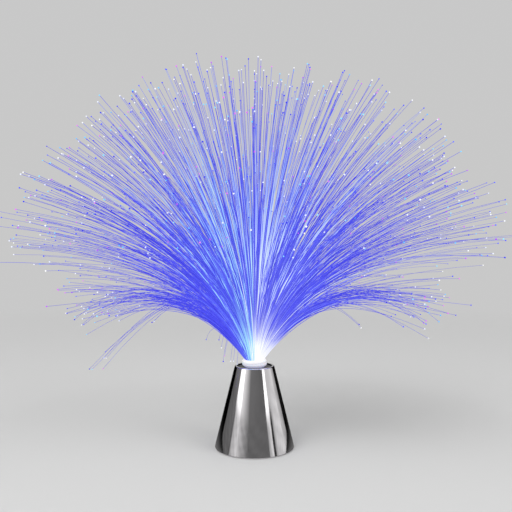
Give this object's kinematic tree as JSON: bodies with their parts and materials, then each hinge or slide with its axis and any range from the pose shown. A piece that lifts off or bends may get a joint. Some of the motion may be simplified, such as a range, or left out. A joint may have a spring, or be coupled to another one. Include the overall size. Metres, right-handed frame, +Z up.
{
  "type": "fiber optic lamp",
  "caption": "Table lamp with a dome of glowing plastic fibres in a white collar, standing in a chrome cone base that holds cells and a slide switch.",
  "frame": {"origin": "on the table under the axis of the cone, the centre of the object's lowest face", "axes": "+Z up along the axis of the cone, +X to the right of the picture, -Y towards the camera"},
  "size_m": [0.4494, 0.4432, 0.3585],
  "materials": {
    "chrome_shell": "bright chrome plating on moulded plastic",
    "black_plastic": "black moulded plastic, fine spark texture",
    "door_plastic": "black moulded plastic, fine spark texture",
    "screw_steel": "zinc plated",
    "switch_steel": "tinned sheet",
    "terminal_board": "brown phenolic",
    "knob_plastic": "satin black",
    "circuit_board": "green solder mask",
    "led_blue": "tinted clear epoxy",
    "led_white": "clear epoxy",
    "chip_epoxy": "black epoxy",
    "resistor_ceramic": "glazed ceramic",
    "white_cup": "white moulded plastic",
    "collar_plastic": "milky translucent, lit from inside",
    "bonded_fiber": "clear fibres in clear resin, ground and polished end",
    "fiber": "clear acrylic fibre carrying blue light",
    "cell_sleeve": "plain printed sleeve",
    "contact_plate": "nickel plated sheet",
    "spring_wire": "nickel plated wire",
    "wire_red": "red insulation",
    "wire_black": "black insulation"
  },
  "bodies": {
    "base": {"base_shell": "chrome_shell", "base_plate": "black_plastic", "battery_housing": "black_plastic", "cell_tubes": "black_plastic", "base_screws": "screw_steel", "switch_frame": "switch_steel", "switch_pins": "terminal_board", "led_board": "circuit_board", "board_screws": "screw_steel", "led_1": "led_blue", "led_2": "led_white", "led_3": "led_blue", "led_4": "led_white", "driver_chip": "chip_epoxy", "resistors": "resistor_ceramic", "light_cup": "white_cup", "battery_1": "cell_sleeve", "battery_2": "cell_sleeve", "battery_3": "cell_sleeve", "top_contact": "contact_plate", "top_bridge": "contact_plate", "return_strip": "contact_plate", "spring_2": "spring_wire", "wire_red": "wire_red", "wire_black": "wire_black", "wire_return": "wire_black"},
    "wand": {"collar": "collar_plastic", "bonded_bundle": "bonded_fiber", "fiber_spray": "fiber"},
    "door": {"battery_door": "door_plastic", "door_screws": "screw_steel", "door_bridge": "contact_plate", "door_contact": "contact_plate", "spring_1": "spring_wire", "spring_3": "spring_wire"},
    "knob": {"switch_knob": "knob_plastic"}
  },
  "joints": [
    {"name": "wand_lift", "type": "slide", "parent": "base", "child": "wand", "axis": [0, 0, 1], "range_m": [0, 0.03]},
    {"name": "door_lift", "type": "slide", "parent": "base", "child": "door", "axis": [0, 0, -1], "range_m": [0, 0.03]},
    {"name": "switch_slide", "type": "slide", "parent": "base", "child": "knob", "axis": [1, 0, 0], "range_m": [-0.002, 0]}
  ]
}
